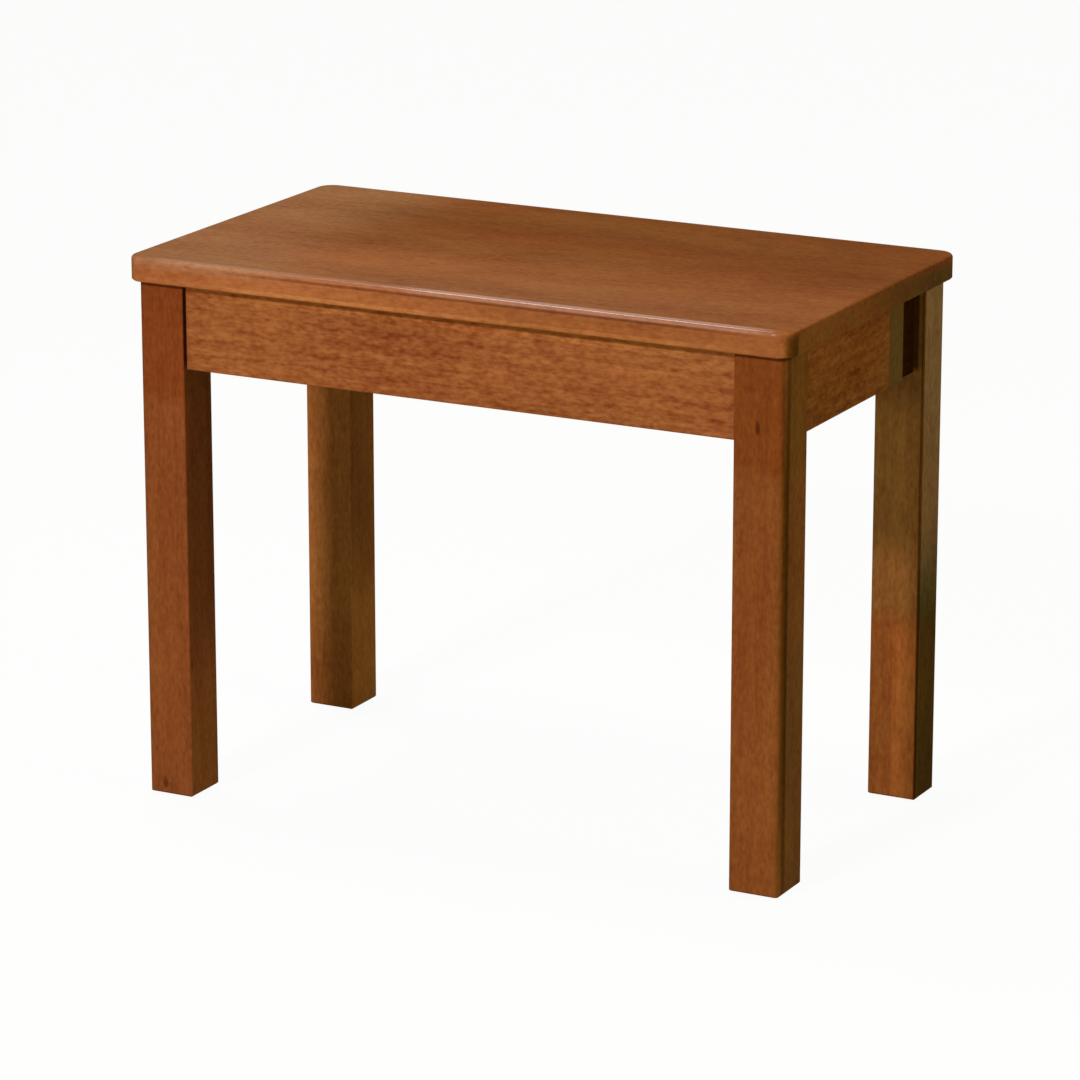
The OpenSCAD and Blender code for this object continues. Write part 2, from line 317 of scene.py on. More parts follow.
@dataclass(frozen=True)
class Patch:
    """A place where the wood differs, such as a knot or a polished arris, or where shade or light
    is painted on it, as in the recess.

    Attributes:
        middle: Its middle.
        reach: Its half sizes along X, Y and Z.
        shade: What the wood's colour is multiplied by inside it.
        softness: Share of its half sizes over which it fades out.
        square: True for a box and False for an oval.
        polish: Weight that the lacquer gains inside it.
    """

    middle: Place
    reach: Place
    shade: Colour = WHITE
    softness: float = 0.4
    square: bool = False
    polish: float = 0.0

    def mask(self, bench: ShaderBench, place: Field) -> Field:
        """Finds where the patch is.

        Args:
            bench: The material's bench.
            place: The point on the surface.

        Returns:
            A mask that is 1 inside the patch and 0 outside it.
        """
        offset = (place - bench.vector(*self.middle)) / bench.vector(*self.reach)
        sides = [side.size() for side in bench.parts(offset)]
        if self.square:
            spread = sides[0].above(sides[1]).above(sides[2])
        else:
            spread = (sides[0] * sides[0] + sides[1] * sides[1] + sides[2] * sides[2]).power(0.5)
        return spread.ramp(1.0 - self.softness, 1.0, 1.0, 0.0)

    def moved(self, step: Vector) -> "Patch":
        """Returns the same patch with its middle moved by a step."""
        return replace(self, middle=tuple(Vector(self.middle) + step))


@dataclass(frozen=True)
class Figure:
    """One kind of unevenness in wood, stretched along its fibres.

    Attributes:
        lengthways: Waves per metre along the fibres.
        crossways: Waves per metre across them.
        detail: Octaves above the first.
        share: How strongly it acts, as tone of the wood or as metres that it moves a ring.
    """

    lengthways: float
    crossways: float
    detail: float
    share: float = 0.0


STREAK = Figure(6.0, 240.0, 2.0, 0.34)
FIBRE = Figure(60.0, 700.0, 1.0, 0.35)
SPECKLE = Figure(160.0, 340.0, 1.0, 1.10)
MOTTLE = Figure(60.0, 150.0, 2.0, 0.75)
CLOUD = Figure(8.0, 18.0, 2.0, 0.60)
HUE = Figure(4.0, 16.0, 1.0)
DASH = Figure(150.0, 640.0, 1.0)
RING_SWAY = Figure(1.8, 6.0, 1.0, 0.05)
RING_WANDER = Figure(10.0, 40.0, 2.0, 0.008)

# For ramps: where each change starts and ends, and its two results where they aren't 0 and 1.
RING_RISE = (0.2, 0.85)
RING_FALL = (0.85, 1.0, 1.0, 0.0)
PORE_EDGE = (0.56, 0.76)
PORE_THINNING = (0.3, 0.6, 0.5, 1.0)
HUE_CHANGE = (0.30, 0.70)
END_GRAIN_EDGE = (0.6, 0.95)
ARRIS_EDGE = (0.80, 0.97, 1.0, 0.0)


@dataclass(frozen=True)
class Fibres:
    """The point on a piece's surface, measured along and across its fibres.

    Attributes:
        bench: The material's bench.
        along: Place along the fibres.
        across: First place across them.
        through: Second place across them.
    """

    bench: ShaderBench
    along: Field
    across: Field
    through: Field

    def noise(self, figure: Figure) -> Field:
        """Adds one kind of unevenness.

        Args:
            figure: Which one it is.

        Returns:
            A value from 0 to 1, near 0.5 on average.
        """
        where = self.bench.vector(
            self.along * figure.lengthways,
            self.across * figure.crossways,
            self.through * figure.crossways,
        )
        return self.bench.noise(where, 1.0, figure.detail)

    def late_wood(self, pith: tuple[float, float], ring_pitch: float) -> Field:
        """Draws the growth rings round the pith.

        Args:
            pith: The middle of the log, across the grain.
            ring_pitch: Distance between rings.

        Returns:
            A value that rises slowly to 1 through each ring and falls fast at its end.
        """
        sway = self.noise(RING_SWAY)
        wander = self.noise(RING_WANDER)
        reach_a = self.across - pith[0] + (sway - NOISE_MEAN) * RING_SWAY.share
        reach_b = self.through - pith[1] + (wander - NOISE_MEAN) * RING_WANDER.share
        phase = ((reach_a * reach_a + reach_b * reach_b).power(0.5) / ring_pitch).fraction()
        return phase.ramp(*RING_RISE) * phase.ramp(*RING_FALL)


@dataclass(frozen=True)
class StainedWood:
    """Fine-grained hardwood with short open pores, stained and lacquered.

    Attributes:
        pale: Colour of the lightest wood.
        deep: Colour of the darkest wood.
        pore: Colour of the stain that gathers in the pores.
        figure: Strength of the streaks, rings and mottles, where 1 is lively.
        fleck: How far the pores darken the wood.
        mean_tone: Tone of plain wood, from 0 for deep to 1 for pale.
        ring_pitch: Distance between growth rings.
        ring_tone: How far the end of a ring darkens the wood.
        end_tint: What end grain multiplies the colour by.
        arris_tint: What rounded arrises multiply it by, where the stain is rubbed thin.
        red_tint: What the redder clouds of the wood multiply it by.
        olive_tint: What the greener clouds multiply it by.
        roughness: Roughness under the lacquer.
        streak_roughness: How far the streaks change it.
        pore_roughness: How far the pores raise it.
        lacquer: Weight of the lacquer on flat faces.
        lacquer_mottle: Share of that weight by which the mottles change it.
        lacquer_roughness: Roughness of the lacquer.
        lacquer_index: Refractive index of the lacquer.
        relief: The height that 1 stands for in the next three.
        flat_height: Height of the plain surface.
        fibre_height: How far the fibres change it.
        pore_depth: How far the pores go down from it.
    """

    pale: Colour
    deep: Colour
    pore: Colour
    figure: float = 1.0
    fleck: float = 0.45
    mean_tone: float = 0.54
    ring_pitch: float = 0.012
    ring_tone: float = 0.14
    end_tint: Colour = (0.70, 0.60, 0.34)
    arris_tint: Colour = (1.02, 1.02, 1.0)
    red_tint: Colour = (1.03, 0.965, 0.95)
    olive_tint: Colour = (0.975, 1.02, 0.99)
    roughness: float = 0.6
    streak_roughness: float = 0.12
    pore_roughness: float = 0.1
    lacquer: float = 0.012
    lacquer_mottle: float = 0.8
    lacquer_roughness: float = 0.25
    lacquer_index: float = 1.8
    relief: float = 0.00010
    flat_height: float = 0.8
    fibre_height: float = 0.25
    pore_depth: float = 0.5

    def build(
        self, name: str, plank: Plank, patches: Sequence[Patch] = ()
    ) -> bpy.types.Material:
        """Makes the material of one piece.

        Args:
            name: The material's name.
            plank: How the piece was cut.
            patches: Places that differ from the rest of it.

        Returns:
            The material.
        """
        material, bench = surface_material(name)
        place = bench.node("ShaderNodeTexCoord", output="Object")
        axes = list(bench.parts(place))
        along = axes.pop(plank.grain.value) + plank.seed
        fibres = Fibres(bench, along, *axes)
        streak, fibre, mottle = (fibres.noise(kind) for kind in (STREAK, FIBRE, MOTTLE))
        pores = fibres.noise(DASH).ramp(*PORE_EDGE) * mottle.ramp(*PORE_THINNING)

        tone = self._tone(fibres, plank, (streak, fibre, mottle))
        colour = self._stain(fibres, plank, tone, pores)
        colour = self._edges(bench, plank, colour)
        lacquer = self.lacquer + (mottle - NOISE_MEAN) * (self.lacquer * self.lacquer_mottle)
        for patch in patches:
            mask = patch.mask(bench, place)
            colour = bench.blend(mask, colour, bench.tinted(colour, patch.shade))
            if patch.polish:
                lacquer = lacquer + mask * patch.polish

        roughness = self.roughness + (streak - NOISE_MEAN) * self.streak_roughness
        surface = {
            "Base Color": colour,
            "Roughness": roughness + pores * self.pore_roughness,
            "Specular IOR Level": 0.0,
            "Coat Weight": lacquer,
            "Coat Roughness": self.lacquer_roughness,
            "Coat IOR": self.lacquer_index,
        }
        height = self.flat_height + (fibre - NOISE_MEAN) * self.fibre_height
        close_surface(bench, surface, height - pores * self.pore_depth, self.relief)
        return material

    def _tone(self, fibres: Fibres, plank: Plank, shared: Sequence[Field]) -> Field:
        """Adds up what makes the wood lighter or darker.

        Args:
            fibres: The point on the surface.
            plank: How the piece was cut.
            shared: The streaks, fibres and mottles, which other parts of the tree use too.

        Returns:
            The tone, from 0 for deep to 1 for pale.
        """
        streak, fibre, mottle = shared
        late = fibres.late_wood(plank.pith, self.ring_pitch)
        speckle = fibres.noise(SPECKLE)
        cloud = fibres.noise(CLOUD)
        lively = (streak - NOISE_MEAN) * STREAK.share + (fibre - NOISE_MEAN) * FIBRE.share
        lively = lively + (speckle - NOISE_MEAN) * SPECKLE.share
        lively = lively + (mottle - NOISE_MEAN) * MOTTLE.share - late * self.ring_tone
        return self.mean_tone + lively * self.figure + (cloud - NOISE_MEAN) * CLOUD.share

    def _stain(self, fibres: Fibres, plank: Plank, tone: Field, pores: Field) -> Field:
        """Stains the wood, in redder and greener clouds, with darker pores.

        Args:
            fibres: The point on the surface.
            plank: How the piece was cut.
            tone: The wood's tone.
            pores: 1 in an open pore and 0 elsewhere.

        Returns:
            The colour.
        """
        bench = fibres.bench
        stops = {"stops": ((0.0, self.deep), (1.0, self.pale))}
        colour = bench.node("ShaderNodeValToRGB", stops, {"Fac": tone})
        redness = fibres.noise(HUE).ramp(*HUE_CHANGE)
        clouds = bench.blend(redness, self.olive_tint, self.red_tint)
        colour = bench.tinted(colour, bench.tinted(clouds, plank.tint))
        return bench.blend(pores * self.fleck, colour, self.pore)

    def _edges(self, bench: ShaderBench, plank: Plank, colour: Field) -> Field:
        """Darkens end grain and rubs the rounded arrises.

        Args:
            bench: The material's bench.
            plank: How the piece was cut.
            colour: The colour of the flat faces.

        Returns:
            The colour all over the piece.
        """
        facing = bench.parts(bench.node("ShaderNodeNewGeometry", output="Normal"))
        end_grain = facing[plank.grain.value].size().ramp(*END_GRAIN_EDGE)
        colour = bench.blend(end_grain, colour, bench.tinted(colour, self.end_tint))
        squareness = facing[0].size().above(facing[1].size()).above(facing[2].size())
        arris = squareness.ramp(*ARRIS_EDGE)
        return bench.blend(arris, colour, bench.tinted(colour, self.arris_tint))


@dataclass(frozen=True)
class PlainFinish:
    """A finish of one colour with a faint unevenness, such as plated steel or moulded plastic.

    Attributes:
        colour: The base colour.
        metallic: 1 for bare metal and 0 for anything else.
        roughness: The mean roughness.
        grain: Waves per metre of the unevenness.
        detail: Octaves of it above the first.
        roughness_spread: How far it changes the roughness.
        dimness: What the colour is multiplied by where it is darkest.
        relief: Height of the unevenness.
    """

    colour: Colour
    metallic: float
    roughness: float
    grain: float
    detail: float = 3.0
    roughness_spread: float = 0.2
    dimness: float = 0.7
    relief: float = 0.00005

    def build(self, name: str) -> bpy.types.Material:
        """Makes the material.

        Args:
            name: The material's name.

        Returns:
            The material.
        """
        material, bench = surface_material(name)
        place = bench.node("ShaderNodeTexCoord", output="Object")
        speck = bench.noise(place, self.grain, self.detail)
        dim = tuple(self.dimness * c for c in self.colour)
        surface = {
            "Base Color": bench.blend(speck, dim, self.colour),
            "Roughness": self.roughness + (speck - NOISE_MEAN) * self.roughness_spread,
            "Metallic": self.metallic,
        }
        close_surface(bench, surface, speck, self.relief)
        return material


SEAT_STAIN = StainedWood(
    pale=(0.41, 0.142, 0.048),
    deep=(0.19, 0.044, 0.012),
    pore=(0.10, 0.025, 0.007),
    figure=0.6,
    fleck=0.25,
    lacquer=0.03,
)
APRON_STAIN = StainedWood(
    pale=(0.405, 0.141, 0.048),
    deep=(0.18, 0.039, 0.011),
    pore=(0.10, 0.024, 0.006),
    fleck=0.33,
)
LEG_STAIN = StainedWood(
    pale=(0.315, 0.099, 0.027),
    deep=(0.135, 0.030, 0.008),
    pore=(0.07, 0.016, 0.004),
    figure=0.6,
    fleck=0.22,
)
STRIP_STAIN = StainedWood(
    pale=(0.155, 0.073, 0.020),
    deep=(0.083, 0.036, 0.009),
    pore=(0.045, 0.019, 0.006),
    figure=0.7,
    fleck=0.3,
)
RAW_WOOD = StainedWood(
    pale=(0.66, 0.46, 0.27),
    deep=(0.44, 0.27, 0.14),
    pore=(0.26, 0.15, 0.07),
    roughness=0.75,
    lacquer=0.0,
)
ZINC = PlainFinish(colour=(0.62, 0.60, 0.54), metallic=1.0, roughness=0.35, grain=900.0)
GLIDE_PLASTIC = PlainFinish(
    colour=(0.030, 0.018, 0.012), metallic=0.0, roughness=0.55, grain=400.0
)


def dress(node: str, material: bpy.types.Material) -> None:
    """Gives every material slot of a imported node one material, and reports the piece.

    Args:
        node: The node's name.
        material: The material.
    """
    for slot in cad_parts[node].material_slots:
        slot.material = material
    log.info("%s: %s", node, material.name)


@dataclass
class SeatBoard:
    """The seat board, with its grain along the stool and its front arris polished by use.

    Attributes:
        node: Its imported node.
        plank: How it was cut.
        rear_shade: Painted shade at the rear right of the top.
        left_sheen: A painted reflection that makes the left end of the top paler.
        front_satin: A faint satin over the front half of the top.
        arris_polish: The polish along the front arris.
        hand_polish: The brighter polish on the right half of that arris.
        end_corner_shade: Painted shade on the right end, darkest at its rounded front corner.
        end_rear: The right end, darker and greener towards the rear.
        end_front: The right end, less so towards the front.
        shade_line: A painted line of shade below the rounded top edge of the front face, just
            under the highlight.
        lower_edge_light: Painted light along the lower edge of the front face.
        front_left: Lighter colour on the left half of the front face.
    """

    node: str = "seat_panel"
    plank: Plank = Plank(Grain.ALONG_X, (0.02, -0.35), 3.1)
    # Painted shade: darkens the rear right of the top.
    rear_shade: Patch = Patch(
        (0.224, 0.481, 0.45), (0.464, 0.571, 0.05), (0.71, 0.66, 0.42),
        softness=0.28, square=True,
    )
    # Painted reflection: a pale sheen over the left end of the top.
    left_sheen: Patch = Patch(
        (-0.30, 0.0, 0.45), (0.19, 0.50, 0.010), (0.97, 1.25, 1.75),
        softness=0.6, square=True,
    )
    front_satin: Patch = Patch(
        (0.0, -0.20, 0.45), (0.34, 0.17, 0.01), softness=1.0, square=True, polish=0.05
    )
    arris_polish: Patch = Patch(
        (0.0, -0.162, 0.451), (0.285, 0.010, 0.005), softness=0.15, square=True, polish=0.22
    )
    hand_polish: Patch = Patch(
        (0.12, -0.162, 0.451), (0.17, 0.010, 0.005), softness=0.2, square=True, polish=0.36
    )
    # Painted shade: darkens the board's rounded front right corner.
    end_corner_shade: Patch = Patch(
        (0.2895, -0.1505, 0.436), (0.0085, 0.0085, 0.0145), (0.42, 0.44, 0.20),
        softness=0.6, square=True,
    )
    end_rear: Patch = Patch(
        (0.290, 0.16, 0.436), (0.004, 0.18, 0.014), (0.52, 0.93, 0.64),
        softness=0.9, square=True,
    )
    end_front: Patch = Patch(
        (0.290, -0.08, 0.436), (0.004, 0.20, 0.014), (0.86, 0.98, 0.66),
        softness=0.4, square=True,
    )
    # Painted shade: a dark line just under the highlight on the front arris.
    shade_line: Patch = Patch(
        (0.03, -0.160, 0.4457), (0.28, 0.003, 0.0016), (0.62, 0.52, 0.45),
        softness=0.5, square=True,
    )
    # Painted light: a pale line along the lower edge of the board's front face.
    lower_edge_light: Patch = Patch(
        (0.0, -0.160, 0.4325), (0.30, 0.005, 0.0024), (1.25, 1.42, 1.45),
        softness=0.6, square=True,
    )
    front_left: Patch = Patch(
        (-0.15, -0.160, 0.441), (0.26, 0.003, 0.020), (1.24, 1.20, 1.32),
        softness=0.8, square=True,
    )

    def build(self) -> None:
        """Dresses the board."""
        top = (self.rear_shade, self.left_sheen, self.front_satin)
        arris = (self.arris_polish, self.hand_polish)
        right_end = (self.end_corner_shade, self.end_rear, self.end_front)
        front = (self.shade_line, self.lower_edge_light, self.front_left)
        patches = (*top, *arris, *right_end, *front)
        dress(self.node, SEAT_STAIN.build("board_stain", self.plank, patches))


@dataclass
class Legs:
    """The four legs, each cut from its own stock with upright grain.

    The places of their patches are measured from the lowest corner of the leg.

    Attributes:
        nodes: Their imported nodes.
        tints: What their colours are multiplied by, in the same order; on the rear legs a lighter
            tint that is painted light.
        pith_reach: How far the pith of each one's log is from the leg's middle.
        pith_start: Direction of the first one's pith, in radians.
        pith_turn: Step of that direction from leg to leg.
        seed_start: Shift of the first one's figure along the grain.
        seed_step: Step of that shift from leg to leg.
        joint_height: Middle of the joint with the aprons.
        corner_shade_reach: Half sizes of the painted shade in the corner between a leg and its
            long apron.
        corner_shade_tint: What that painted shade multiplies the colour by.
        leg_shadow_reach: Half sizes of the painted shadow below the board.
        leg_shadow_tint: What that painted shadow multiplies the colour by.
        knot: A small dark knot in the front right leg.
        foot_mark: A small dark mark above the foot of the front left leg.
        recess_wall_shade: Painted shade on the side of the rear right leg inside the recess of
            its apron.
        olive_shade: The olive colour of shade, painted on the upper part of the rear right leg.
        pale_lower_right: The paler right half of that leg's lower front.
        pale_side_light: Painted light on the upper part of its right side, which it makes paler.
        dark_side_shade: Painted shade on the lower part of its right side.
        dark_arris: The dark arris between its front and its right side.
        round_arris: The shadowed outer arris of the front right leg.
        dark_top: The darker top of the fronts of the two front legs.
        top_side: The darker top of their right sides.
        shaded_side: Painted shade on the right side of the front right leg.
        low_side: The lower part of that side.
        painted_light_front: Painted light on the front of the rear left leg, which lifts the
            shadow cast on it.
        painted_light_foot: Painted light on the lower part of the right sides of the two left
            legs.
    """

    nodes: tuple[str, ...] = (
        "leg_front_left", "leg_front_right", "leg_rear_left", "leg_rear_right"
    )
    # The front legs' tints are each leg's own tone; the lighter tints of the rear legs are
    # painted light.
    tints: tuple[Colour, ...] = (
        (0.985, 0.94, 1.02), (1.0, 1.02, 0.98), (1.15, 1.28, 1.20), (1.08, 1.12, 1.02)
    )
    pith_reach: float = 0.16
    pith_start: float = 0.6
    pith_turn: float = 1.9
    seed_start: float = 0.4
    seed_step: float = 1.7
    joint_height: float = 0.395
    # Painted shade in the corner between a leg and its long apron.
    corner_shade_reach: Place = (0.002, 0.0036, 0.037)
    corner_shade_tint: Colour = (0.32, 0.28, 0.24)
    # Painted shadow on the top of each leg, under the board.
    leg_shadow_reach: Place = (0.03, 0.03, 0.0045)
    leg_shadow_tint: Colour = (0.55, 0.46, 0.42)
    knot: Patch = Patch(
        (0.020, 0.0, 0.370), (0.0028, 0.004, 0.0075), (0.45, 0.40, 0.36),
        softness=0.6,
    )
    foot_mark: Patch = Patch(
        (0.017, 0.0, 0.009), (0.0035, 0.004, 0.0065), (0.5, 0.45, 0.4),
        softness=0.7,
    )
    # Painted shade: the leg's side inside the apron's recess.
    recess_wall_shade: Patch = Patch(
        (0.03475, 0.0, 0.392), (0.0024, 0.003, 0.0352), (0.36, 0.32, 0.26),
        softness=0.15, square=True,
    )
    # Painted shade: the olive colour of shade on the upper part of the rear right leg.
    olive_shade: Patch = Patch(
        (0.0, 0.0, 0.322), (0.060, 0.060, 0.178), (0.98, 1.28, 1.4),
        softness=0.13, square=True,
    )
    pale_lower_right: Patch = Patch(
        (0.0315, 0.0, 0.050), (0.0125, 0.004, 0.100), (1.27, 1.26, 1.26),
        softness=0.12, square=True,
    )
    # Painted light: the upper part of the rear right leg's right side.
    pale_side_light: Patch = Patch(
        (0.043, 0.021, 0.317), (0.0015, 0.030, 0.180), (0.92, 1.12, 1.95),
        softness=0.30, square=True,
    )
    # Painted shade: the lower part of the rear right leg's right side.
    dark_side_shade: Patch = Patch(
        (0.042, 0.021, 0.050), (0.0015, 0.060, 0.202), (0.29, 0.42, 0.24),
        softness=0.50, square=True,
    )
    dark_arris: Patch = Patch(
        (0.042, 0.0, 0.215), (0.0024, 0.0020, 0.30), (0.45, 0.36, 0.20),
        softness=0.3, square=True,
    )
    round_arris: Patch = Patch(
        (0.042, 0.0065, 0.215), (0.012, 0.0064, 0.30), (0.40, 0.42, 0.18),
        softness=0.7, square=True,
    )
    dark_top: Patch = Patch(
        (0.021, 0.0, 0.400), (0.060, 0.004, 0.078), (0.86, 0.71, 0.60),
        softness=0.3, square=True,
    )
    top_side: Patch = Patch(
        (0.043, 0.021, 0.400), (0.0015, 0.030, 0.078), (0.84, 0.92, 0.70),
        softness=0.3, square=True,
    )
    # Painted shade: the right side of the front right leg.
    shaded_side: Patch = Patch(
        (0.043, 0.021, 0.215), (0.0015, 0.030, 0.300), (0.82, 0.87, 0.84),
        softness=0.2, square=True,
    )
    low_side: Patch = Patch(
        (0.043, 0.021, 0.060), (0.0015, 0.030, 0.180), (0.73, 0.87, 0.96),
        softness=0.6, square=True,
    )
    # Painted light: lifts the shadow on the front of the rear left leg.
    painted_light_front: Patch = Patch(
        (0.021, 0.0, 0.260), (0.060, 0.0015, 0.230), (1.24, 1.30, 1.42),
        softness=0.35, square=True,
    )
    # Painted light: the lower part of the right sides of the two left legs.
    painted_light_foot: Patch = Patch(
        (0.043, 0.021, 0.0), (0.0015, 0.030, 0.130), (1.38, 1.62, 1.50),
        softness=0.7, square=True,
    )

    def build(self) -> None:
        """Dresses each leg."""
        # What each leg has of its own, in the order of the nodes.
        own_patches = (
            (self.foot_mark, self.dark_top, self.top_side, self.painted_light_foot),
            (
                self.knot, self.dark_top, self.top_side,
                self.shaded_side, self.low_side, self.round_arris,
            ),
            (self.painted_light_front, self.painted_light_foot),
            (
                self.recess_wall_shade, self.olive_shade, self.pale_lower_right,
                self.pale_side_light, self.dark_side_shade, self.dark_arris,
            ),
        )
        for i, node in enumerate(self.nodes):
            low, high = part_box(node)
            plank = self._plank(i, (low + high) / 2)
            own = [patch.moved(low) for patch in own_patches[i]]
            patches = (*self._painted_shade_patches(low, high), *own)
            dress(node, LEG_STAIN.build(f"leg_wood_{i}", plank, patches))

    def _plank(self, i: int, middle: Vector) -> Plank:
        """Gives a leg a log of its own.

        Args:
            i: The leg's number.
            middle: The leg's middle.

        Returns:
            How the leg was cut.
        """
        turn = self.pith_turn * i + self.pith_start
        pith = (
            middle.x + self.pith_reach * math.cos(turn),
            middle.y + self.pith_reach * math.sin(turn),
        )
        return Plank(Grain.UPRIGHT, pith, self.seed_step * i + self.seed_start, self.tints[i])

    def _painted_shade_patches(self, low: Vector, high: Vector) -> tuple[Patch, Patch]:
        """Finds where shade is painted: in the corner with the long apron, and as a shadow below
        the board.

        Args:
            low: The leg's lowest corner.
            high: Its highest corner.

        Returns:
            The painted shade on the leg's inner side and the painted shadow round its top.
        """
        inner = high.x if low.x < 0 else low.x
        is_front = low.y < 0
        face = low.y if is_front else high.y
        inset = self.corner_shade_reach[1] if is_front else -self.corner_shade_reach[1]
        corner = (inner, face + inset, self.joint_height)
        top = ((low.x + high.x) / 2, (low.y + high.y) / 2, high.z)
        return (
            Patch(corner, self.corner_shade_reach, self.corner_shade_tint, softness=0.3, square=True),
            Patch(top, self.leg_shadow_reach, self.leg_shadow_tint, softness=0.4, square=True),
        )


@dataclass
class ApronFrame:
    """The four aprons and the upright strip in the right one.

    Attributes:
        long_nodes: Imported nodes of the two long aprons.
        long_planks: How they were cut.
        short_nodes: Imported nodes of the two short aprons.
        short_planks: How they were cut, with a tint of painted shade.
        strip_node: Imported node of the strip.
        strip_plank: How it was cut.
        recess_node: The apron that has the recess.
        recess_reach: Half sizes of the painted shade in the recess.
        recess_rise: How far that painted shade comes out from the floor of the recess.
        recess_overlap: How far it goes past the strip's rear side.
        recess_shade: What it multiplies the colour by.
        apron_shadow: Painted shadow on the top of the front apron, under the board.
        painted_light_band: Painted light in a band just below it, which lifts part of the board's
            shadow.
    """

    long_nodes: tuple[str, ...] = ("apron_front", "apron_rear")
    long_planks: tuple[Plank, ...] = (
        Plank(Grain.ALONG_X, (-0.15, 0.16), 5.3),
        Plank(Grain.ALONG_X, (0.25, 0.16), 6.3),
    )
    short_nodes: tuple[str, ...] = ("apron_right", "apron_left")
    # Their tint is painted shade, which darkens these side pieces.
    short_planks: tuple[Plank, ...] = (
        Plank(Grain.ALONG_Y, (0.30, 0.2), 8.1, (0.67, 0.64, 0.39)),
        Plank(Grain.ALONG_Y, (-0.40, 0.2), 9.1, (0.67, 0.64, 0.39)),
    )
    strip_node: str = "apron_strip"
    strip_plank: Plank = Plank(Grain.UPRIGHT, (0.5, 0.2), 2.2)
    recess_node: str = "apron_right"
    recess_reach: Place = (0.0055, 0.0165, 0.05)
    recess_rise: float = 0.002
    recess_overlap: float = 0.0005
    recess_shade: Colour = (0.12, 0.10, 0.05)
    # Painted shadow: the top of the front apron, under the board.
    apron_shadow: Patch = Patch(
        (0.0, -0.150, 0.4264), (0.30, 0.010, 0.0026), (0.80, 0.72, 0.44),
        softness=0.5, square=True,
    )
    # Painted light: a pale band on the front apron that lifts part of the board's shadow.
    painted_light_band: Patch = Patch(
        (0.0, -0.150, 0.4218), (0.30, 0.010, 0.0034), (1.32, 1.40, 1.36),
        softness=0.7, square=True,
    )

    def build(self) -> None:
        """Dresses the aprons and the strip."""
        long_patches = (self.painted_light_band, self.apron_shadow)
        for i, (node, plank) in enumerate(zip(self.long_nodes, self.long_planks)):
            dress(node, APRON_STAIN.build(f"long_apron_wood_{i}", plank, long_patches))
        for i, (node, plank) in enumerate(zip(self.short_nodes, self.short_planks)):
            patches = (self._recess(),) if node == self.recess_node else ()
            dress(node, APRON_STAIN.build(f"short_apron_wood_{i}", plank, patches))
        dress(self.strip_node, STRIP_STAIN.build("strip_stain", self.strip_plank))

    def _recess(self) -> Patch:
        """Finds the painted shade on the floor of the recess, which starts at the strip's rear
        side.

        Returns:
            The painted shade on it.
        """
        low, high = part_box(self.strip_node)
        reach_x, reach_y, _ = self.recess_reach
        middle = (
            low.x + self.recess_rise - reach_x,
            high.y + reach_y - self.recess_overlap,
            (low.z + high.z) / 2,
        )
        # Painted shade: darkens the floor of the recess almost to black.
        return Patch(
            middle, self.recess_reach, self.recess_shade, softness=0.05, square=True
        )


@dataclass
class Fixings:
    """The unseen pieces: corner blocks, seat buttons, screws, washers, glides and nails.

    Attributes:
        corners: The four corners, by which blocks, buttons and glides are named.
        block_pith: Pith of the first block's log.
        block_pith_step: Step of its first value from block to block.
        block_seed_step: Step of the blocks' seeds.
        button_pith: Pith of the buttons' log.
        button_seed_step: Step of the buttons' seeds.
        steel_nodes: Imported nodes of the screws, washers and nails.
    """

    corners: tuple[str, ...] = ("front_left", "front_right", "rear_left", "rear_right")
    block_pith: tuple[float, float] = (0.3, 0.2)
    block_pith_step: float = 0.1
    block_seed_step: float = 0.9
    button_pith: tuple[float, float] = (0.1, 0.3)
    button_seed_step: float = 2.0
    steel_nodes: tuple[str, ...] = (
        "block_screws", "seat_screws", "seat_washers", "button_screws", "glide_nails"
    )

    def build(self) -> None:
        """Dresses the fixings."""
        steel = ZINC.build("zinc_plating")
        plastic = GLIDE_PLASTIC.build("brown_plastic")
        for i, corner in enumerate(self.corners):
            pith = (self.block_pith[0] + self.block_pith_step * i, self.block_pith[1])
            block = Plank(Grain.ALONG_X, pith, self.block_seed_step * i)
            button = Plank(Grain.ALONG_Y, self.button_pith, self.button_seed_step * i)
            dress(f"corner_block_{corner}", RAW_WOOD.build(f"block_wood_{i}", block))
            dress(f"seat_button_{corner}", RAW_WOOD.build(f"button_wood_{i}", button))
            dress(f"glide_{corner}", plastic)
        for node in self.steel_nodes:
            dress(node, steel)


@dataclass(frozen=True)
class Lamp:
    """One flat lamp that shines at the stool.

    Attributes:
        name: The lamp's name.
        place: Where it hangs.
        width: Its first size, along its own level side.
        height: Its second size, square to the first.
        watts: Its power.
        tint: The colour of its light.
    """

    name: str
    place: Place
    width: float
    height: float
    watts: float
    tint: Colour

    def hang(self, aim: Vector) -> None:
        """Makes the lamp.

        Args:
            aim: The point that it shines at.
        """
        data = bpy.data.lights.new(self.name, "AREA")
        data.shape = "RECTANGLE"
        data.size = self.width
        data.size_y = self.height
        data.energy = self.watts
        data.color = self.tint
        lamp = bpy.data.objects.new(self.name, data)
        lamp.location = self.place
        lamp.rotation_mode = "QUATERNION"
        lamp.rotation_quaternion = (aim - Vector(self.place)).to_track_quat("-Z", "Y")
        bpy.context.scene.collection.objects.link(lamp)
        log.info("lamp: %s", self.name)


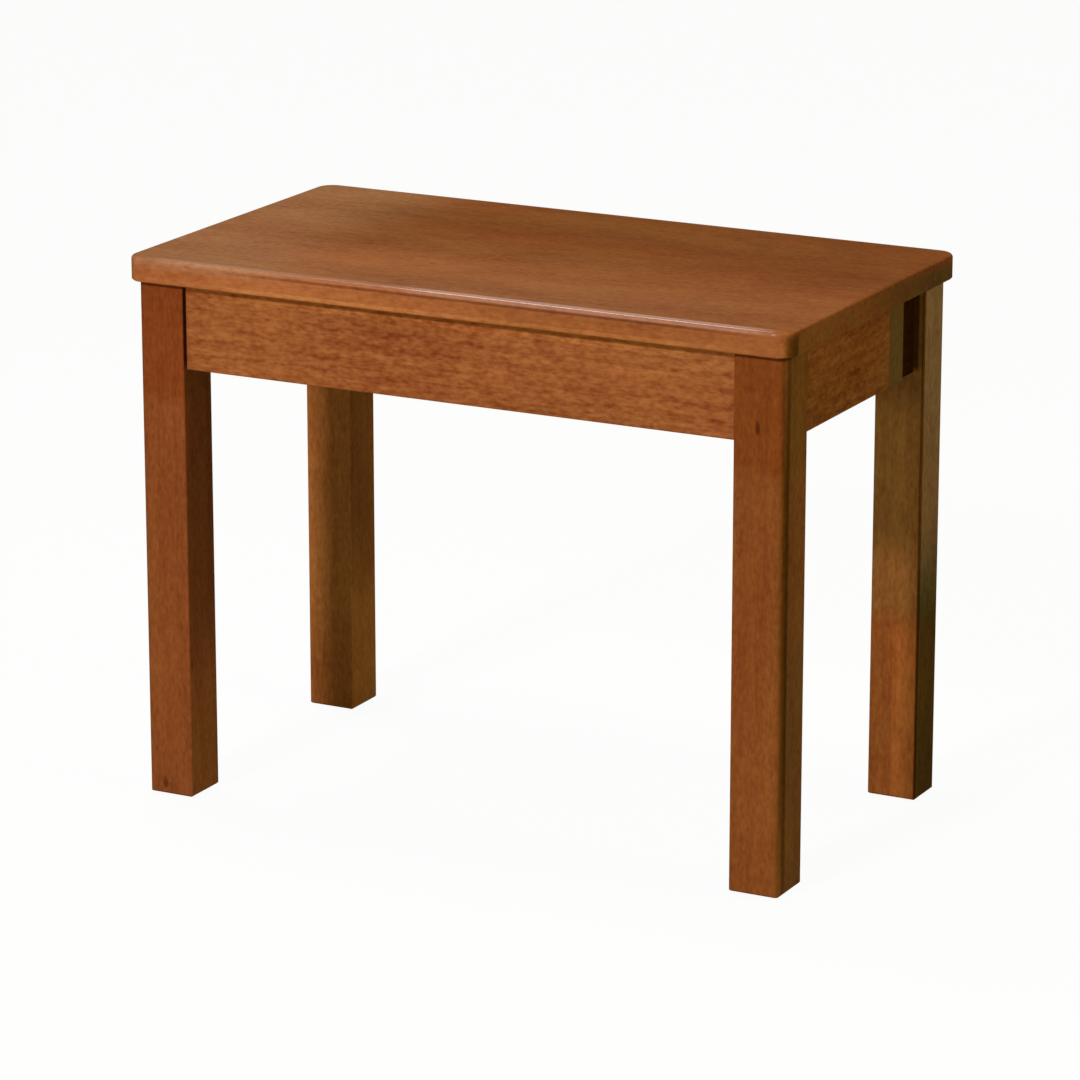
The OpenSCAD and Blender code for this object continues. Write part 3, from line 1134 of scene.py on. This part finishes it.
@dataclass
class Studio:
    """The floor, the lamps, the world and the camera.

    Attributes:
        azimuth: Where the camera stands round the stool, in degrees to the right of its front.
        elevation: How high it stands, in degrees.
        distance: How far it stands from the point that it looks at.
        aim: The point that it looks at.
        focal_px: Focal length in pixels of a picture of picture_px pixels.
        picture_px: Side of that picture.
        sensor_mm: Width of the camera's sensor.
        view_depth: How far the camera sees.
        floor_half: Half the side of the floor.
        floor_shade: Colour of the floor's paper as the stool sees it.
        floor_paper: Colour of the floor's paper as the camera sees it.
        floor_glow: Share of plain white in the floor that the camera sees.
        fill: Colour of the light from all round.
        fill_strength: Its strength.
        lamps: The lamps, all of which shine at the point that the camera looks at.
    """

    azimuth: float = 27.5
    elevation: float = 15.8
    distance: float = 4.0
    aim: Place = (-0.0020, 0.0, 0.2136)
    focal_px: float = 4960.0
    picture_px: float = 1080.0
    sensor_mm: float = 36.0
    view_depth: float = 100.0
    floor_half: float = 12.0
    floor_shade: Colour = (0.56, 0.57, 0.50)
    floor_paper: Colour = (0.93, 0.93, 1.0)
    floor_glow: float = 0.95
    fill: Colour = (0.86, 1.08, 0.47)
    fill_strength: float = 0.27
    lamps: tuple[Lamp, ...] = (
        Lamp("key", (-0.56, -4.80, 3.06), 0.50, 0.50, 140.0, (1.0, 0.93, 0.92)),
        Lamp("front_fill", (-0.42, -3.60, 0.66), 0.5, 0.4, 33.0, (0.97, 1.0, 0.86)),
        Lamp("side_fill", (2.90, 0.0, 1.52), 0.9, 0.3, 26.0, (1.0, 1.0, 0.70)),
        Lamp("top_strip", (-0.55, 0.11, 1.80), 0.35, 0.60, 9.3, (1.0, 0.96, 0.93)),
    )

    def build(self) -> None:
        """Makes the whole studio."""
        bpy.context.scene.view_settings.view_transform = "Standard"
        self._lay_floor()
        self._light_world()
        for lamp in self.lamps:
            lamp.hang(Vector(self.aim))
        self._stand_camera()

    def _lay_floor(self) -> None:
        """Makes the pale floor, which keeps the stool's shadow."""
        half = self.floor_half
        mesh = bpy.data.meshes.new("floor")
        corners = [(-half, -half, 0.0), (half, -half, 0.0), (half, half, 0.0), (-half, half, 0.0)]
        mesh.from_pydata(corners, [], [(0, 1, 2, 3)])
        floor = bpy.data.objects.new("floor", mesh)
        bpy.context.scene.collection.objects.link(floor)
        mesh.materials.append(self._floor_material())
        log.info("floor: pale paper")

    def _floor_material(self) -> bpy.types.Material:
        """Makes the floor's paper, which is nearly plain white where it is seen.

        Returns:
            Its material.
        """
        material, bench = surface_material("floor_paper")
        seen = bench.seen()
        colour = bench.blend(seen, self.floor_shade, self.floor_paper)
        paper = bench.node("ShaderNodeBsdfDiffuse", {}, {"Color": colour})
        white = {"Color": (*WHITE, 1.0), "Strength": 1.0}
        glow = bench.node("ShaderNodeEmission", {}, white)
        shares = {0: seen * self.floor_glow, 1: paper, 2: glow}
        mixed = bench.node("ShaderNodeMixShader", {}, shares)
        bench.node("ShaderNodeOutputMaterial", {}, {"Surface": mixed}, None)
        return material

    def _light_world(self) -> None:
        """Makes the soft light from all round, which is white where it is seen."""
        world = bpy.data.worlds.new("studio")
        bpy.context.scene.world = world
        world.use_nodes = True
        bench = ShaderBench(world.node_tree)
        fill = tuple(self.fill_strength * c for c in self.fill)
        colour = bench.blend(bench.seen(), fill, WHITE)
        sky = bench.node("ShaderNodeBackground", {}, {"Color": colour, "Strength": 1.0})
        bench.node("ShaderNodeOutputWorld", {}, {"Surface": sky}, None)
        log.info("world: soft fill")

    def _stand_camera(self) -> None:
        """Stands the camera at the photograph's viewing angle."""
        data = bpy.data.cameras.new("camera")
        data.sensor_width = self.sensor_mm
        data.lens = self.focal_px / self.picture_px * self.sensor_mm
        data.clip_end = self.view_depth
        camera = bpy.data.objects.new("camera", data)
        turn, lift = math.radians(self.azimuth), math.radians(self.elevation)
        level = math.cos(lift)
        back = Vector((math.sin(turn) * level, -math.cos(turn) * level, math.sin(lift)))
        camera.location = Vector(self.aim) + back * self.distance
        camera.rotation_mode = "QUATERNION"
        camera.rotation_quaternion = (-back).to_track_quat("-Z", "Y")
        bpy.context.scene.collection.objects.link(camera)
        bpy.context.scene.camera = camera
        log.info("camera: azimuth %.1f, elevation %.1f", self.azimuth, self.elevation)


def main() -> None:
    """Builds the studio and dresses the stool."""
    logging.basicConfig(level=logging.INFO, format="%(name)s %(message)s")
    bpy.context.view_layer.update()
    Studio().build()
    for assembly in (SeatBoard(), Legs(), ApronFrame(), Fixings()):
        assembly.build()


if __name__ == "__main__":
    main()
